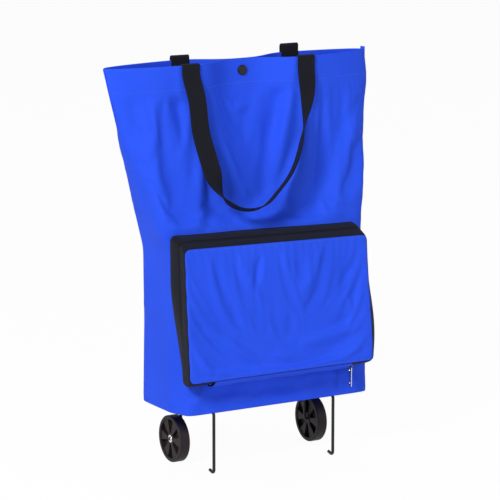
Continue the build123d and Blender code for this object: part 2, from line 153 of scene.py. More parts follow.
def at_length(wanted, along, points):
    """Places on a line, or directions that go with it, at the wanted lengths."""
    return np.stack([np.interp(wanted, along, column) for column in points.T], axis=-1)


def evenly_spaced(points, count):
    """The same line through count points at equal distances."""
    along = length_along(points)
    return at_length(np.linspace(0, along[-1], count), along, points)


cloth_rows = 76
front_columns, back_columns = 120, 72
front_samples, back_samples = 900, 500  # places worked out before they are spaced evenly
ring_columns = front_columns + back_columns
row_heights = np.linspace(bag_bottom, hem_z, cloth_rows)


def ring_row(z):
    """One row of cloth: the front panel from the left seam to the right one, then the back panel."""
    seam = seam_at(z)
    front = ring_points(z, np.linspace(180 - seam, 360 + seam, front_samples))
    back = ring_points(z, np.linspace(seam, 180 - seam, back_samples))
    return np.concatenate([
        evenly_spaced(front, front_columns + 1)[:-1],
        evenly_spaced(back, back_columns + 1)[:-1],
    ])


cloth_grid = np.array([ring_row(z) for z in row_heights])


def cloth_y(x, z, side):
    """Depth of the smooth front (side -1) or back (side 1) of the bag at a place."""
    row = np.clip((z - bag_bottom) / bag_height * (cloth_rows - 1), 0, cloth_rows - 1.001)
    depths = []
    for line in (cloth_grid[int(row)], cloth_grid[int(row) + 1]):
        half = line[side * (line[:, 1] - bag_y) > 0]
        order = np.argsort(half[:, 0])
        depths.append(np.interp(x, half[order, 0], half[order, 1]))
    return depths[0] + (depths[1] - depths[0]) * (row - int(row))


def unit(vectors):
    """The same directions, one metre long."""
    return vectors / (np.linalg.norm(vectors, axis=-1, keepdims=True) + 1e-12)


def ring_normals(grid):
    """Outward directions on rows of points that run round the bag, anticlockwise seen from above."""
    across = np.roll(grid, -1, axis=1) - np.roll(grid, 1, axis=1)
    return unit(np.cross(across, np.gradient(grid, axis=0)))


# Soft folds that the cloth took when it was packed and filled.  Each runs between two places (distance from
# the middle of the base, height), with its width and its depth, inwards below zero.  Millimetres.
FRONT_FOLDS = [
    (34, 512, -2, 370, 13, -10.0),
    (70, 505, 36, 360, 17, 7.0),
    (104, 478, 70, 330, 15, -6.0),
    (132, 440, 96, 330, 15, 7.0),
    (-136, 524, -116, 440, 9, -6.5),
    (-158, 520, -150, 330, 13, 4.5),
    (-188, 505, -160, 330, 11, -4.0),
    (-90, 470, -106, 330, 13, 5.0),
    (-62, 440, -84, 352, 10, -4.5),
    (-60, 352, -104, 325, 8, -4.0),
    (-22, 500, -40, 395, 17, 5.5),
    (-168, 301, -136, 286, 4, -4.5),
    (-150, 322, -60, 334, 12, 3.5),
    (-10, 345, 60, 330, 10, -3.5),
    (20, 372, 104, 346, 12, 3.5),
    (-104, 128, -118, 88, 4, 3.0),
    (-90, 110, 60, 100, 8, -3.0),
    (20, 112, 60, 96, 7, 2.2),
    (96, 116, 128, 92, 6, 3.0),
    (-150, 250, -146, 120, 9, -3.2),
    (-136, 230, -140, 150, 7, 2.6),
]
BACK_FOLDS = [
    (-60, 500, -30, 330, 17, -8.0),
    (30, 470, 80, 250, 20, 6.5),
    (-120, 470, -90, 220, 17, 6.0),
    (-20, 300, 90, 130, 18, -6.0),
    (110, 380, 96, 150, 13, -5.0),
    (-100, 220, 20, 120, 16, 5.5),
]


def fold_depth(points, folds):
    """How far the folds move each point along the cloth's normal."""
    depth = np.zeros(points.shape[:-1])
    flat = points[..., [0, 2]] - np.array([bag_x, 0])
    for x0, z0, x1, z1, width, height in folds:
        start = np.array([x0, z0]) * MM
        run = np.array([x1 - x0, z1 - z0]) * MM
        along = np.clip(((flat - start) @ run) / (run @ run), 0, 1)
        off = np.linalg.norm(flat - start - along[..., None] * run, axis=-1)
        faded = np.sin(np.pi * (0.12 + 0.76 * along)) ** 0.8
        depth += height * MM * faded * np.exp(-((off / (width * MM)) ** 2))
    return depth


# The pocket's outline where it is sewn on: millimetres from the middle of the base, and from the floor.
pocket_left, pocket_right = -141.5, 127.0
pocket_z = (121.0, 315.0)
normals = ring_normals(cloth_grid)


def rumple(points, size, seed):
    """Shallow unevenness of cloth that has been folded away and opened out; about -1 to 1."""
    chance = np.random.default_rng(seed)
    total = np.zeros(points.shape[:-1])
    for wave in range(14):
        turn = chance.uniform(0, math.pi)
        length = size * chance.uniform(0.6, 1.8)
        place = points[..., 0] * math.cos(turn) + points[..., 2] * math.sin(turn)
        bend = 0.35 * np.sin(points[..., 0] * 38 + wave) + 0.35 * np.sin(points[..., 2] * 31 + 2 * wave)
        total += np.sin(2 * math.pi * place / length + chance.uniform(0, 6.28) + bend)
    return total / 5


is_front = cloth_grid[..., 1] < bag_y - 8 * MM
is_back = cloth_grid[..., 1] > bag_y + 8 * MM
moved = is_front * fold_depth(cloth_grid, FRONT_FOLDS) + is_back * fold_depth(cloth_grid, BACK_FOLDS)
moved += 1.1 * MM * rumple(cloth_grid, 0.075, 4) + 0.35 * MM * rumple(cloth_grid, 0.026, 7)

# Cloth that keeps its place: behind the pocket, inside the line it is sewn along, in the hem and at the base.
x, z = cloth_grid[..., 0] - bag_x, cloth_grid[..., 2]
inside_line = np.minimum.reduce([
    x - pocket_left * MM, pocket_right * MM - x, z - pocket_z[0] * MM, pocket_z[1] * MM - z,
])
behind_pocket = is_front * smooth_step(inside_line, -10 * MM, -1 * MM)
near_hem = smooth_step(z, hem_z - 48 * MM, hem_z - 36 * MM)
near_base = 1 - smooth_step(z, bag_bottom + 3 * MM, bag_bottom + 22 * MM)
moved *= (1 - behind_pocket) * (1 - 0.8 * near_hem) * (1 - near_base)
sewn_cloth = cloth_grid + normals * moved[..., None]


def grid_faces(rows, columns, closed):
    """Four-sided faces between the points of a grid."""
    faces = []
    for low in range(0, (rows - 1) * columns, columns):
        for here in range(columns if closed else columns - 1):
            after = (here + 1) % columns
            faces.append((low + here, low + after, low + columns + after, low + columns + here))
    return faces


def make_piece(name, vertices, faces, uvs=None):
    """A mesh object from lists of places and faces, with a map in metres if one is given."""
    mesh = bpy.data.meshes.new(name)
    mesh.from_pydata([tuple(map(float, v)) for v in vertices], [], faces)
    if uvs is not None:
        layer = mesh.uv_layers.new(name="metres")
        for loop in mesh.loops:
            layer.data[loop.index].uv = uvs[loop.vertex_index]
    mesh.validate()
    mesh.update()
    mesh.polygons.foreach_set("use_smooth", [True] * len(mesh.polygons))
    piece = bpy.data.objects.new(name, mesh)
    bpy.context.scene.collection.objects.link(piece)
    return piece


def settle_cloth(name, grid, closed, hold, slack, frames, reach):
    """Lets a grid of cloth hang and buckle where it isn't held, and returns where its points came to rest."""
    piece = make_piece(name, grid.reshape(-1, 3), grid_faces(*grid.shape[:2], closed))
    held = piece.vertex_groups.new(name="held")
    for index, weight in enumerate(hold.reshape(-1)):
        held.add([index], float(weight), "REPLACE")
    sim = piece.modifiers.new("settle", "CLOTH")
    settings = {
        "quality": 6, "mass": 0.22, "tension_stiffness": 18, "compression_stiffness": 14,
        "shear_stiffness": 6, "bending_stiffness": 1.6, "vertex_group_mass": "held", "pin_stiffness": 0.6,
        "shrink_min": -slack,
    }
    for setting, value in settings.items():
        setattr(sim.settings, setting, value)
    sim.settings.effector_weights.gravity = 0.6
    sim.collision_settings.use_collision = False
    sim.point_cache.frame_start = 1
    sim.point_cache.frame_end = frames
    for number in range(1, frames + 1):
        bpy.context.scene.frame_set(number)
    evaluated = piece.evaluated_get(bpy.context.evaluated_depsgraph_get())
    settled = np.array([v.co[:] for v in evaluated.data.vertices]).reshape(grid.shape)
    bpy.context.scene.frame_set(1)
    bpy.data.meshes.remove(piece.data)
    step = settled - grid
    size = np.linalg.norm(step, axis=2, keepdims=True)
    return grid + step * np.minimum(1, reach / np.maximum(size, 1e-9))


column = np.arange(ring_columns)
from_seam = np.minimum(np.abs(column - front_columns), np.minimum(column, ring_columns - column))
near_seam = 0.5 * np.exp(-((from_seam / 2.0) ** 2))
sides = 0.8 * smooth_step(np.abs(normals[..., 0]), 0.35, 0.8)
hold = np.maximum.reduce([behind_pocket, near_hem, near_base, sides])
hold = np.maximum(hold, np.maximum(near_seam, 0.06))
sewn_cloth = settle_cloth("bag_settling", sewn_cloth, True, hold, 0.014, 24, 10 * MM)


def grid_piece(name, grid):
    """A mesh object from a grid of points, with a map that measures along the cloth."""
    rows, columns = grid.shape[:2]
    u, v = np.zeros((2, rows, columns))
    u[:, 1:] = np.cumsum(np.linalg.norm(np.diff(grid, axis=1), axis=2), axis=1)
    v[1:] = np.cumsum(np.linalg.norm(np.diff(grid, axis=0), axis=2), axis=0)
    u -= u[:, [columns // 2]]
    uvs = np.stack([u, v], axis=2).reshape(-1, 2).tolist()
    return make_piece(name, grid.reshape(-1, 3), grid_faces(rows, columns, False), uvs)


def thicken(piece, thickness, offset):
    """Gives a sheet its real thickness; offset 1 grows outwards and -1 inwards."""
    solid = piece.modifiers.new("thickness", "SOLIDIFY")
    solid.thickness = thickness
    solid.offset = offset
    solid.use_even_offset = False


def dress(piece, material, slot, *solids):
    """Gives a piece of the bag its material, hangs it on the bag, and hides the solids that it stands for;
    the slot is not used.
    """
    piece.data.materials.append(material)
    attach(piece, "bag")
    if solids:
        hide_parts(*solids)


def connect(tree, source, socket):
    """Links a socket to another one, or gives it a plain value."""
    if isinstance(source, bpy.types.NodeSocket):
        tree.links.new(source, socket)
    else:
        socket.default_value = source


def add_node(tree, kind, inputs, **settings):
    """A shader node with its settings and inputs; each input is a socket or a plain value."""
    node = tree.nodes.new("ShaderNode" + kind)
    for name, value in settings.items():
        setattr(node, name, value)
    for label, source in inputs.items():
        connect(tree, source, node.inputs[label])
    return node


def math_node(tree, operation, *sources):
    return add_node(tree, "Math", dict(enumerate(sources)), operation=operation).outputs[0]


def times(tree, first, second):
    return math_node(tree, "MULTIPLY", first, second)


def mix_colours(tree, share, first, second):
    return add_node(tree, "Mix", {0: share, 6: first, 7: second}, data_type="RGBA").outputs[2]


def start_group(name, inputs, outputs):
    """A node group with named sockets; returns it with the sockets to build between."""
    group = bpy.data.node_groups.new(name, "ShaderNodeTree")
    for way, sockets in (("INPUT", inputs), ("OUTPUT", outputs)):
        for label, kind in sockets.items():
            group.interface.new_socket(label, in_out=way, socket_type="NodeSocket" + kind)
    return group, group.nodes.new("NodeGroupInput").outputs, group.nodes.new("NodeGroupOutput").inputs


# Plain weave: warp and weft threads pass over each other by turns.  Place is in metres along the cloth.
weave, weave_in, weave_out = start_group(
    "plain_weave",
    {"Place": "Vector", "Threads per metre": "Float", "Unevenness": "Float"},
    {"Height": "Float", "Thread": "Float", "Slub": "Float"},
)
split = add_node(weave, "SeparateXYZ", {0: weave_in["Place"]}).outputs
counts = [times(weave, split[way], weave_in["Threads per metre"]) for way in "XY"]
warp_round, weft_round = (
    math_node(weave, "ABSOLUTE", math_node(weave, "SINE", times(weave, count, math.pi)))
    for count in counts
)
crossing = math_node(weave, "ADD", *(math_node(weave, "FLOOR", count) for count in counts))
on_top = math_node(weave, "ABSOLUTE", math_node(weave, "MODULO", crossing, 2.0))
warp_part = times(weave, warp_round, on_top)
weft_part = times(weave, weft_round, math_node(weave, "SUBTRACT", 1.0, on_top))
thread_height = math_node(weave, "ADD", warp_part, weft_part)
slub = add_node(weave, "TexNoise", {"Vector": weave_in["Place"], "Scale": 160, "Detail": 3}).outputs["Fac"]
slub_part = times(weave, slub, weave_in["Unevenness"])
connect(weave, math_node(weave, "ADD", thread_height, slub_part), weave_out["Height"])
connect(weave, thread_height, weave_out["Thread"])
connect(weave, slub, weave_out["Slub"])

# Slow shade: large soft patches where the coating took the dye or the dust a little differently.
patches, patches_in, patches_out = start_group(
    "slow_patches", {"Size": "Float", "First": "Color", "Second": "Color"}, {"Colour": "Color"},
)
patch_noise = add_node(patches, "TexNoise", {
    "Vector": add_node(patches, "TexCoord", {}).outputs["Object"], "Scale": patches_in["Size"], "Detail": 4,
})
patch_share = add_node(patches, "MapRange", {
    "Value": patch_noise.outputs["Fac"], "From Min": 0.3, "From Max": 0.7,
})
patch_colour = mix_colours(patches, patch_share.outputs["Result"], patches_in["First"], patches_in["Second"])
connect(patches, patch_colour, patches_out["Colour"])


def place_group(tree, group, inputs):
    """Puts a node group into a material with its own values; returns its outputs."""
    return add_node(tree, "Group", inputs, node_tree=group).outputs


def blank_material(name, constants):
    """A material and the inputs of its Principled shader, with the constant ones set."""
    material = bpy.data.materials.new(name)
    material.use_nodes = True
    surface = material.node_tree.nodes["Principled BSDF"].inputs
    for label, value in constants.items():
        surface[label].default_value = value
    return material, material.node_tree, surface


def toned(colour, share=1.0):
    return (*(share * part for part in colour), 1)


def raise_relief(tree, surface, height, strength, distance):
    bump = add_node(tree, "Bump", {"Strength": strength, "Distance": distance, "Height": height})
    connect(tree, bump.outputs["Normal"], surface["Normal"])


royal_blue, royal_shade = (0.021, 0.088, 0.84), (0.017, 0.074, 0.74)
cloth_threads = 2200  # in a metre
# Painted shade: thread_gap_shade is how far the colour darkens in the gaps between the threads.
thread_gap_shade = 0.25  # how much of the dark shows between them


def woven_material(name, roughness, sheen, place):
    """Cloth: two near dyes in slow patches, painted shade between the threads, with the weave as relief."""
    material, tree, surface = blank_material(name, {
        "Sheen Weight": sheen, "Sheen Roughness": 0.45, "Sheen Tint": (0.35, 0.5, 1.0, 1),
        "Specular IOR Level": 0.12,
    })
    woven = place_group(tree, weave, {
        "Place": add_node(tree, "TexCoord", {}).outputs[place],
        "Threads per metre": cloth_threads, "Unevenness": 0.5,
    })
    dye = place_group(tree, patches, {
        "Size": 9.0, "First": toned(royal_blue), "Second": toned(royal_shade),
    })
    # Painted shade: the colour darkens towards 0.45 of the blue in the gaps between the threads.
    depth = times(tree, math_node(tree, "SUBTRACT", 1.0, woven["Thread"]), thread_gap_shade)
    colour = mix_colours(tree, depth, dye["Colour"], toned(royal_blue, 0.45))
    connect(tree, colour, surface["Base Color"])
    rough = math_node(tree, "MULTIPLY_ADD", woven["Slub"], 0.14, roughness - 0.07)
    connect(tree, rough, surface["Roughness"])
    raise_relief(tree, surface, woven["Height"], 0.35, 0.25 * MM)
    return material


blue_cloth = woven_material("blue_oxford", 0.68, 0.02, "UV")

# The edges of both panels turn in at the side seams.
seam_dip = 1.1 * MM
looped, looped_out = (
    np.concatenate([grid, grid[:, :1]], axis=1) for grid in (sewn_cloth, ring_normals(sewn_cloth))
)
front_grid, front_out = looped[:, :front_columns + 1].copy(), looped_out[:, :front_columns + 1]
back_grid, back_out = looped[:, front_columns:].copy(), looped_out[:, front_columns:]
for grid, out in ((front_grid, front_out), (back_grid, back_out)):
    for edge, beside in ((0, 1), (-1, -2)):
        grid[:, edge] -= out[:, edge] * seam_dip
        grid[:, beside] -= out[:, beside] * seam_dip * 0.35

hem_roll = 1.0 * MM
hem_depth = 33 * MM
hem_seam = 28 * MM  # its row of stitches, below the edge


def with_hem(grid, directions):
    """Carries the cloth over the top edge and down inside, as the sewn hem does."""
    top, out = grid[-1], directions[-1]
    inward = -out * np.array([1, 1, 0])
    rows = [grid]
    for turn in (45, 90, 135, 180):
        angle = math.radians(turn)
        shift = inward * hem_roll * (1 - math.cos(angle)) + np.array([0, 0, hem_roll * math.sin(angle)])
        rows.append((top + shift)[None])
    for drop in np.linspace(0, 1, 9)[1:]:
        height = hem_z - hem_depth * drop
        row = int(np.argmin(np.abs(row_heights - height)))
        inside = grid[row] - directions[row] * np.array([1, 1, 0]) * 2 * hem_roll
        inside[:, 2] = height
        rows.append(inside[None])
    return np.concatenate(rows)


def panel(name, grid, thickness, offset, solid, **sheet):
    """A panel of the bag's cloth, thickened and subdivided once; its cut size and what it lies on are not
    used.
    """
    piece = grid_piece(name, grid)
    thicken(piece, thickness, offset)
    finer = piece.modifiers.new("finer", "SUBSURF")
    finer.levels = finer.render_levels = 1
    dress(piece, blue_cloth, "blue_cloth", solid)


for side, grid, out, flat, area in (
    ("front", front_grid, front_out, (0.476, 0.498), 0.216),
    ("back", back_grid, back_out, (0.402, 0.498), 0.160),
):
    panel(side + "_cloth", with_hem(grid, out), cloth_thickness, -1, side + "_panel",
          flat=flat, area=area, rests_on=["base_board"])

# ---- Base cloth ----
# A plain panel of the same cloth closes the bottom.  It is seamed in all round, lies on the two sleeves that
# hold the wires, and turns down to the seam at its edge.

base_rings = 14
base_outline = cloth_grid[0]
base_centre = base_outline.mean(axis=0)
base_grid = []
for ring in range(base_rings):
    share = 1 - ring / (base_rings - 1) * 0.985
    ring_place = base_centre + (base_outline - base_centre) * share * 0.992
    ring_place[:, 2] = base_z + 0.5 * MM - (base_z - bag_bottom) * smooth_step(share, 0.93, 1.0)
    base_grid.append(ring_place)
base_grid = np.array(base_grid)
base_map = [(float(p[0]), float(p[1])) for p in base_grid.reshape(-1, 3)]
base_faces = grid_faces(base_rings, ring_columns, True)
base_faces.append(tuple(range((base_rings - 1) * ring_columns, base_rings * ring_columns)))
base_cloth = make_piece("base_cloth", base_grid.reshape(-1, 3), base_faces, base_map)
thicken(base_cloth, cloth_thickness, 0)
dress(base_cloth, blue_cloth, "blue_cloth", "bottom_panel")

# ---- Seam bindings ----
# A folded strip of the same cloth is sewn over the raw edges of each side seam, inside the bag.  The right
# one's end is left standing, rolled, just above the hem.


def tube_faces(first, rings, count):
    """Faces of a tube that starts at point first and has rings of count points, with both ends closed."""
    last = first + (rings - 1) * count
    sides = [tuple(first + index for index in face) for face in grid_faces(rings, count, True)]
    return sides + [tuple(range(first + count - 1, first - 1, -1)), tuple(range(last, last + count))]


def ribbon(name, strands, width, thickness):
    """Flat tape with rounded edges along strands, each a middle line and its sideways directions."""
    half, edge = width / 2, thickness / 2
    turns = np.radians(np.arange(0, 181, 45))
    right = [(half - edge + edge * math.sin(t), edge * math.cos(t)) for t in turns]
    flats = np.linspace(half - edge, -half + edge, 9)[1:-1]
    section = right + [(a, -edge) for a in flats]
    section += [(-a, -b) for a, b in section]
    vertices, faces, uvs = [], [], []
    for middles, sideways in strands:
        heading = unit(np.gradient(middles, axis=0))
        side = unit(sideways - heading * (sideways * heading).sum(axis=1, keepdims=True))
        out = np.cross(side, heading)
        faces += tube_faces(len(vertices), len(middles), len(section))
        for middle, s, o, length in zip(middles, side, out, length_along(middles)):
            vertices += [middle + s * a + o * b for a, b in section]
            uvs += [(a, float(length)) for a, b in section]
    return make_piece(name, vertices, faces, uvs)


binding_width, binding_thickness = 7.0 * MM, 1.7 * MM
binding_inset = 2.0 * MM
binding_start = 9 * MM  # above the seam round the base
binding_ends = {-1: -1 * MM, 1: 4 * MM}  # above the hem, at the left and at the right


def binding(label, side):
    """side is -1 for the left seam and 1 for the right one."""
    middles, sideways = [], []
    for z in np.linspace(bag_bottom + binding_start, hem_z + binding_ends[side], 90):
        seam = 90 - side * (90 - seam_at(min(z, hem_z)))
        before, there, after = ring_points(min(z, hem_z), np.array([seam - 2.5, seam, seam + 2.5]))
        along = unit(after - before)
        wander = 0.5 * MM * math.sin(z * 150) * smooth_step(z, bag_bottom, hem_z)
        middle = there + np.cross([0, 0, 1], along) * binding_inset + along * wander
        middles.append([middle[0], middle[1], z])
        sideways.append(along)
    strand = (np.array(middles), np.array(sideways))
    piece = ribbon(label + "_binding", [strand], binding_width, binding_thickness)
    dress(piece, blue_cloth, "blue_cloth", label + "_seam_binding")


binding("left", -1)
binding("right", 1)

# ---- Stitching of the bag ----
# Lockstitch in blue polyester thread holds the hem 28 mm below the edge, front and back.  Each stitch dips
# into the cloth at its ends.

stitch_length = 3.2 * MM
stitch_gap = 0.9 * MM
thread_radius = 0.24 * MM
look_ahead = 0.4 * MM
STITCH = [(0.0, -0.2), (0.25, 0.18), (0.75, 0.18), (1.0, -0.2)]  # share of its length, and its rise
hexagon = [(math.cos(math.radians(a)), math.sin(math.radians(a))) for a in range(0, 360, 60)]


def add_bead(vertices, faces, stations, radius):
    """A six-sided bead through stations, each its middle and its sideways and outward directions."""
    faces += tube_faces(len(vertices), len(stations), 6)
    for middle, side, out in stations:
        vertices += [middle + radius * (side * a + out * b) for a, b in hexagon]


def stitches(name, rows, thread, slot):
    """Raised stitches along rows; each row is its points and the outward direction at each."""
    vertices, faces = [], []
    for points, outward in rows:
        along = length_along(points)
        count = int(along[-1] / (stitch_length + stitch_gap))
        for number in range(count):
            start = (number + 0.5) * along[-1] / count - stitch_length / 2
            stations = []
            for share, rise in STITCH:
                place = start + share * stitch_length
                middle = at_length(place, along, points)
                ahead = at_length(place + look_ahead, along, points) - middle
                if place + look_ahead > along[-1]:
                    ahead = points[-1] - points[-2]
                out = at_length(place, along, outward)
                stations.append((middle + out * rise * MM, unit(np.cross(out, unit(ahead))), out))
            add_bead(vertices, faces, stations, thread_radius)
    dress(make_piece(name, vertices, faces), thread, slot)


def thread_material(name, colour):
    """Spun thread: fine slanting strands, with a painted highlight on top and painted shade in the twist."""
    material, tree, surface = blank_material(name, {"Roughness": 0.55, "Sheen Weight": 0.2})
    strands = add_node(tree, "TexWave", {
        "Vector": add_node(tree, "TexCoord", {}).outputs["Object"], "Scale": 900, "Distortion": 1.5,
    }, bands_direction="DIAGONAL").outputs["Fac"]
    # Painted highlight and shade: the wave bands move the colour between 0.6 of itself and full strength.
    connect(tree, mix_colours(tree, strands, toned(colour, 0.6), toned(colour)), surface["Base Color"])
    raise_relief(tree, surface, strands, 0.4, 0.1 * MM)
    return material


blue_thread = thread_material("blue_thread", (0.03, 0.11, 0.82))
hem_row = int(np.argmin(np.abs(row_heights - (hem_z - hem_seam))))
hem_lines = [(grid[hem_row], out[hem_row]) for grid, out in ((front_grid, front_out), (back_grid, back_out))]
stitches("hem_stitches", hem_lines, blue_thread, "blue_cloth")

# ---- Handles ----
# Two straps of black polypropylene webbing, 25 mm wide.  Each end is sewn inside the hem, turned over it, and
# the strap hangs in a slack loop that turns on its side at the bottom.

strap_width = 25 * MM
strap_thickness = 1.6 * MM
strap_bend = 2.6 * MM
strap_tab = 36 * MM
front_ends = [(bag_x - 107.5 * MM, 3.0 * MM), (bag_x + 61.5 * MM, 3.0 * MM)]
back_ends = [(bag_x - 94.5 * MM, 7.0 * MM), (bag_x + 66.5 * MM, 12.0 * MM)]

# The hanging loop: share of the way from the left end to the right one, drop below the hem, distance outside
# the line that the loop swings about.
LOOP = [
    (0.025, 35.0, 2.0),
    (0.045, 80.0, 8.0),
    (0.10, 125.0, 16.0),
    (0.15, 157.0, 25.0),
    (0.24, 176.0, 31.0),
    (0.38, 184.0, 32.0),
    (0.52, 181.0, 31.0),
    (0.64, 167.0, 27.0),
    (0.77, 146.0, 23.0),
    (0.87, 115.0, 18.0),
    (0.94, 77.0, 11.0),
    (0.985, 38.0, 4.0),
]


def smooth_route(points, count):
    """A smooth curve through the points, given as count points at equal distances."""
    points = np.array(points)
    knots = length_along(points)
    spans = np.linalg.norm(np.diff(points, axis=0), axis=1)
    size = len(points)
    system, right = np.eye(size), np.zeros((size, 3))
    for i in range(1, size - 1):
        system[i, i - 1:i + 2] = spans[i - 1], 2 * (spans[i - 1] + spans[i]), spans[i]
        right[i] = 6 * ((points[i + 1] - points[i]) / spans[i] - (points[i] - points[i - 1]) / spans[i - 1])
    bends = np.linalg.solve(system, right)
    fine = np.linspace(0, knots[-1], 1200)
    row = np.clip(np.searchsorted(knots, fine) - 1, 0, size - 2)
    span = spans[row][:, None]
    before, after = (fine - knots[row])[:, None], (knots[row + 1] - fine)[:, None]
    curve = (
        (bends[row] * after**3 + bends[row + 1] * before**3) / (6 * span)
        + (points[row] / span - bends[row] * span / 6) * after
        + (points[row + 1] / span - bends[row + 1] * span / 6) * before
    )
    return evenly_spaced(curve, count)


def hem_at(x, side):
    """Middle of the hem's thickness at x, and the direction along it, left to right."""
    reach = strap_width / 2
    left, middle, right = (cloth_y(place, hem_z, side) for place in (x - reach, x, x + reach))
    along = unit(np.array([1.0, (right - left) / strap_width, 0.0]))
    return np.array([x, middle - side * cloth_thickness, hem_z]), along


def over_hem(x, rise, side, turns):
    """Points of the strap's middle where it goes over the hem; 0 degrees is outside and 180 inside."""
    middle, along = hem_at(x, side)
    out, up = -side * np.cross(along, [0, 0, 1]), np.array([0, 0, 1])
    middle = middle + up * (rise - strap_thickness / 2 - strap_bend)
    return [middle + strap_bend * (out * math.cos(t) + up * math.sin(t)) for t in np.radians(turns)]


def sewn_ends(name, ends, side):
    """The lengths sewn up the inside of the hem, as far as the top of the turn."""
    strands = []
    for x, rise in ends:
        arch = over_hem(x, rise, side, range(180, 89, -15))
        low = np.array([*arch[0][:2], hem_z - strap_tab])
        up = [low + (arch[0] - low) * share for share in np.linspace(0, 1, 16)[:-1]]
        route = np.array(up + arch)
        strands.append((route, np.tile(hem_at(x, side)[1], (len(route), 1))))
    return ribbon(name, strands, strap_width, strap_thickness)


# How the loop turns on its side and back: degrees, and from where to where along it.
STRAP_TURNS = [(90, 0.30, 0.42), (22, 0.38, 0.52), (68, 0.74, 0.94)]


def loop_strap(name, ends, side, swing_y):
    """The free length of a strap, from the top of one turn to the top of the other."""
    (left_x, left_rise), (right_x, right_rise) = ends
    near_end = over_hem(left_x, left_rise, side, (90, 60, 30, 0))
    far_end = over_hem(right_x, right_rise, side, (0, 30, 60, 90))
    below = np.array([0, 0, 7 * MM])
    hanging = [
        np.array([left_x + share * (right_x - left_x), swing_y + side * out * MM, hem_z - drop * MM])
        for share, drop, out in LOOP
    ]
    route = [*near_end, near_end[-1] - below, *hanging, far_end[0] - below, *far_end]
    middles = smooth_route(route, 190)
    along = np.linspace(0, 1, len(middles))
    heading = np.gradient(middles, axis=0)
    flat = unit(np.stack([-heading[:, 2], 0 * along, heading[:, 0]], axis=1))
    turned = sum(degrees * smooth_step(along, start, end) for degrees, start, end in STRAP_TURNS)
    turned = np.radians(turned)[:, None]
    sideways = flat * np.cos(turned) + np.array([0, -side, 0]) * np.sin(turned)
    near_left = 1 - smooth_step(along, 0.03, 0.09)[:, None]
    near_right = smooth_step(along, 0.91, 0.97)[:, None]
    left_way, right_way = hem_at(left_x, side)[1], hem_at(right_x, side)[1]
    sideways = sideways * (1 - near_left - near_right) + left_way * near_left + right_way * near_right
    return ribbon(name, [(middles, sideways)], strap_width, strap_thickness)


def webbing_material(name, colour, ribs_per_metre):
    """Woven webbing: coarse ribs along the strap, a fine pick across it, painted shade between the ribs, and
    fibres fuzzed at the edges.
    """
    material, tree, surface = blank_material(name, {
        "Roughness": 0.7, "Specular IOR Level": 0.14, "Sheen Weight": 0.04, "Sheen Roughness": 0.5,
        "Sheen Tint": (0.5, 0.55, 0.7, 1),
    })
    place = add_node(tree, "TexCoord", {}).outputs
    woven = place_group(tree, weave, {
        "Place": place["UV"], "Threads per metre": ribs_per_metre, "Unevenness": 0.3,
    })
    fuzz = add_node(tree, "TexNoise", {"Vector": place["Object"], "Scale": 700}).outputs["Fac"]
    top = mix_colours(tree, fuzz, toned(colour), toned(colour, 1.9))
    # Painted shade: the colour darkens to 0.35 of itself between the ribs.
    deep = times(tree, math_node(tree, "SUBTRACT", 1.0, woven["Thread"]), 0.6)
    connect(tree, mix_colours(tree, deep, top, toned(colour, 0.35)), surface["Base Color"])
    raise_relief(tree, surface, woven["Height"], 0.5, 0.4 * MM)
    return material


webbing = webbing_material("black_webbing", (0.0045, 0.005, 0.009), 800)


def handle(label, ends, side):
    joints = frame["record"]["behaviour"]["joints"]
    swing_y = next(j for j in joints if j["name"] == label + "_handle_swing")["pos_m"][1]
    dress(sewn_ends(label + "_sewn_ends", ends, side), webbing, "black_webbing", label + "_handle_ends")
    strap = loop_strap(label + "_strap", ends, side, swing_y)
    strap.data.materials.append(webbing)
    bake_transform(strap)
    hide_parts(label + "_handle")


handle("front", front_ends, -1)
handle("back", back_ends, 1)

# Each end is held by a stitched box with a cross in it, seen inside the bag.
box_half_width = 9.5 * MM
box_low, box_high = 33 * MM, 6 * MM


def box_and_cross(x, rise, side):
    along = hem_at(x, side)[1]
    inward = -side * np.cross([0, 0, 1], along)
    face = over_hem(x, rise, side, (180,))[0] + inward * strap_thickness / 2
    places = [
        np.array([face[0], face[1], hem_z - drop]) + along * box_half_width * end
        for end, drop in ((-1, box_high), (1, box_high), (1, box_low), (-1, box_low))
    ]
    rows = []
    for start, end in ((0, 1), (1, 2), (2, 3), (3, 0), (0, 2), (1, 3)):
        points = places[start] + (places[end] - places[start]) * np.linspace(0, 1, 12)[:, None]
        rows.append((points, np.tile(inward, (12, 1))))
    return rows


black_thread = thread_material("black_thread", (0.02, 0.02, 0.026))
strap_rows = []
for ends, side in ((front_ends, -1), (back_ends, 1)):
    for x, rise in ends:
        strap_rows += box_and_cross(x, rise, side)
stitches("strap_stitches", strap_rows, black_thread, "black_webbing")

# ---- Front pocket ----
# A box pocket that the empty bag is stowed in.  Its blue face hangs out a little at the bottom; round it runs
# black tape with a coil zip, which turns in along the bottom at both ends, with blue cloth between them.

pocket_x = (pocket_left + pocket_right) / 2
pocket_width = pocket_right - pocket_left
sewn_depth = 56.0  # depths are counted forwards from the middle of the base
face_depth = 84.0
droops = (8.0, 14.0)  # the face is this much shorter, at the bottom and the top
pocket_corner = 8.0
face_lift = 2.5  # its bottom edge is drawn up from the zip by this much
pocket_fall = 7.0  # the right end of its top lies this much lower than the left end
pocket_slew = 2.0  # and the top this much further left than the bottom
pocket_lean = math.radians(2.4)
zip_bulge = 15.0  # how far the zip pushes out at the right
face_seam = 2.6  # the face's row of stitches, inside its edge
pocket_cloth = 0.6 * MM
left_return = 38.3  # tape turned in along the bottom
right_return = 30.0
tape = 0.8
coil_depths = (69.0, 73.0)
core_width, core_thickness = 3.6 * MM, 1.0 * MM
coil_middle = sum(coil_depths) / 2


